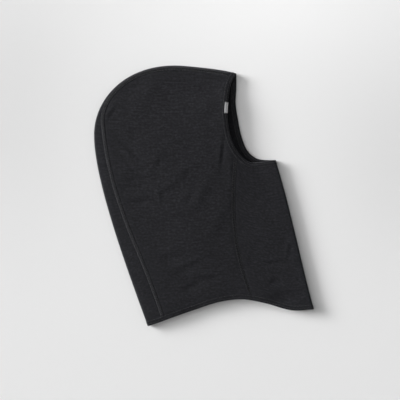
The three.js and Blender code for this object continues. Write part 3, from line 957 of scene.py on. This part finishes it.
def edge_label(name, base):
    """A woven tape folded over the upper edge of the face opening, tacked at both ends."""
    sides, stations = np.array(base.side), np.array(base.station)
    upper = np.flatnonzero(sides == RIGHT)
    from_middle = np.abs(face_edge[RIGHT].at(stations[upper])[:, 1] - LABEL_Y)
    rows = upper[from_middle < LABEL_LONG / 2]
    rows = np.linspace(rows.min(), rows.max(), 46)
    bend, nose = 0.9, -0.45   # insets where the tape starts to turn, and of its foremost place
    outer = [(inset, -LABEL_CLEAR) for inset in np.linspace(LABEL_OUTSIDE, bend, 16)]
    turned = [(mix(bend, nose, math.sin(t)), mix(-LABEL_CLEAR, LABEL_UNDER, (1 - math.cos(t)) / 2))
              for t in np.linspace(0.2, math.pi - 0.2, 9)]
    inner = [(inset, LABEL_UNDER) for inset in np.linspace(bend, LABEL_INSIDE, 10)]
    path = np.array(outer + turned + inner)
    row, inset = np.broadcast_arrays(rows[:, None], path[None, :, 0])
    sheet, _ = base.surface(row, inset, np.broadcast_to(path[:, 1], row.shape))
    across = lengths_to(sheet[20])
    along = np.linspace(-LABEL_LONG / 2, LABEL_LONG / 2, len(rows))
    uv = np.stack(np.broadcast_arrays(across[None], along[:, None]), -1)
    solid = Solid()
    normal = outwards(sheet)
    add_cloth(solid, sheet + normal * LABEL_TAPE / 2, uv, thickness=LABEL_TAPE)
    # A row of tacking stitches across the outer leaf, near each end
    for end in (2, len(rows) - 3):
        column = np.linspace(1.5, 14.5, 5)
        j = column.astype(int)
        middle = mix(sheet[end, j], sheet[end, j + 1], (column - j)[:, None])
        tack = unit(sheet[end, j + 1] - sheet[end, j])
        up = normal[end, j]
        add_stitches(solid, middle + up * 0.2, tack, up, 0.85, 0.13, 0.1, look=1)
    return solid.make(name, [label_weave, hem_thread])


# The hood

bases = {mouth: HemBase(mouth) for mouth in (face, neck)}
pieces = {
    "right_side_panel": side_panel("side_panel_right", RIGHT),
    "left_side_panel": side_panel("side_panel_left", LEFT),
    "crown_gusset": folded_panel("gusset_crown", gusset_seam, fold_end=0, width=20, flat_steps=12,
                                 rows=330, cloth=gusset_knit),
    "throat_panel": folded_panel("panel_throat", throat_seam, fold_end=1, width=80, flat_steps=40,
                                 rows=140, cloth=throat_knit_painted_light),
    "right_gusset_seam": flatlock("seam_gusset_right", gusset_seam, RIGHT, seam_thread),
    "left_gusset_seam": flatlock("seam_gusset_left", gusset_seam, LEFT, seam_thread),
    "right_throat_seam": flatlock("seam_throat_right", throat_seam, RIGHT, throat_thread),
    "left_throat_seam": flatlock("seam_throat_left", throat_seam, LEFT, throat_thread),
    "face_opening_hem": hem_piece("hem_face", bases[face]),
    "neck_hem": hem_piece("hem_neck", bases[neck]),
    "face_coverstitch": coverstitch("stitch_face", bases[face]),
    "neck_coverstitch": coverstitch("stitch_neck", bases[neck]),
    "edge_label": edge_label("label_edge", bases[face]),
}
for node, piece in pieces.items():
    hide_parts(node)


# Stage, lights and camera

FRAME_WIDTH = 0.616   # metres across the picture at the hood's middle height
VIEW_MIDDLE = (-0.006, -0.0065)
MIDDLE_HEIGHT = 0.006
FLOOR_DROP = 0.0002   # the floor lies a little under the hood
FLOOR_SHADE = 0.8
# Painted light and painted shade on the floor: soft lighter and darker places, in metres: middle,
# half sizes, change of tone
FLOOR_PAINTED_LIGHT_AND_SHADE = [
    ((0.118, 0.316), (0.15, 0.085), 0.075), ((-0.313, 0.162), (0.125, 0.19), -0.095),
    ((0.318, 0.064), (0.105, 0.13), -0.085),
]
# The floor runs out level and then curves up into a backdrop: distance and height, in metres
COVE = [
    (12, 0), (13, 0.01), (15, 0.12), (17, 0.4), (19, 1), (20.3, 1.75), (21.4, 2.8), (22.2, 4),
    (22.7, 5.2),
]


def floor_piece():
    mesh = bpy.data.meshes.new("floor")
    turn = np.arange(96) * 2 * math.pi / 96
    rings = [[(far * math.cos(t), far * math.sin(t), high) for t in turn] for far, high in COVE]
    wall = quads(len(COVE), len(turn), ring_columns=True).tolist()
    level = list(range(len(turn)))
    mesh.from_pydata([point for ring in rings for point in ring], [], [level] + wall)
    mesh.polygons.foreach_set("use_smooth", [False] + [True] * len(wall))
    made, tree, shader = material("floor_paper", roughness=0.95, specular=0.1)
    where = put(tree, "ShaderNodeTexCoord").outputs["Object"]
    shade = FLOOR_SHADE
    # Each place adds a soft painted pool of light or painted shade to the floor's colour.
    for (x, y), (wide, high), change in FLOOR_PAINTED_LIGHT_AND_SHADE:
        placed = put(tree, "ShaderNodeMapping", {
            "Vector": where,
            "Location": (-x / wide, -y / high, 0),
            "Scale": (1 / wide, 1 / high, 1),
        })
        away = put(tree, "ShaderNodeVectorMath", {0: placed.outputs[0]}, operation="LENGTH")
        away = away.outputs["Value"]
        soft = sums(tree, "POWER", 0.5, sums(tree, "MULTIPLY", away, away))
        shade = sums(tree, "ADD", shade, sums(tree, "MULTIPLY", soft, change))
    tree.links.new(shade, shader.inputs["Base Color"])
    mesh.materials.append(made)
    floor = bpy.data.objects.new("floor", mesh)
    floor.location.z = -FLOOR_DROP
    scene.collection.objects.link(floor)


def towards(azimuth, elevation):
    a, e = math.radians(azimuth), math.radians(elevation)
    return Vector((math.cos(e) * math.cos(a), math.cos(e) * math.sin(a), math.sin(e)))


def lamp(name, kind, way):
    light = bpy.data.lights.new(name, kind)
    holder = bpy.data.objects.new(name, light)
    holder.rotation_euler = way.to_track_quat("Z", "Y").to_euler()
    scene.collection.objects.link(holder)
    return light, holder


def sun(name, azimuth, elevation, spread, brightness):
    """A far, soft light. brightness is what it gives a level surface."""
    light, _ = lamp(name, "SUN", towards(azimuth, elevation))
    light.angle = math.radians(spread)
    light.energy = brightness / math.sin(math.radians(elevation))


def window(name, azimuth, elevation, distance, size, brightness):
    """A soft panel of light, width by height in metres."""
    way = towards(azimuth, elevation)
    light, holder = lamp(name, "AREA", way)
    light.shape = "RECTANGLE"
    light.size, light.size_y = size
    light.energy = brightness * math.pi * distance**2 / math.sin(math.radians(elevation))
    holder.location = way * distance


floor_piece()
world = bpy.data.worlds.new("studio")
world.use_nodes = True
background = world.node_tree.nodes["Background"].inputs
background["Color"].default_value = (1, 1, 1, 1)
background["Strength"].default_value = 0.05
scene.world = world
window("key", azimuth=159, elevation=14, distance=20, size=(10.4, 4.4), brightness=1.585)
sun("key_high", azimuth=168, elevation=29, spread=22, brightness=0.44)
sun("overhead", azimuth=180, elevation=62, spread=44, brightness=0.49)
window("top", azimuth=90, elevation=50, distance=1.0, size=(0.5, 0.5), brightness=0.27)
sun("fill", azimuth=-35, elevation=38, spread=50, brightness=0.22)

camera_data = bpy.data.cameras.new("camera")
camera_data.lens = 85
camera = bpy.data.objects.new("camera", camera_data)
distance = FRAME_WIDTH * camera_data.lens / camera_data.sensor_width
camera.location = (*VIEW_MIDDLE, distance + MIDDLE_HEIGHT)
scene.collection.objects.link(camera)
scene.camera = camera
scene.view_settings.view_transform = "Standard"
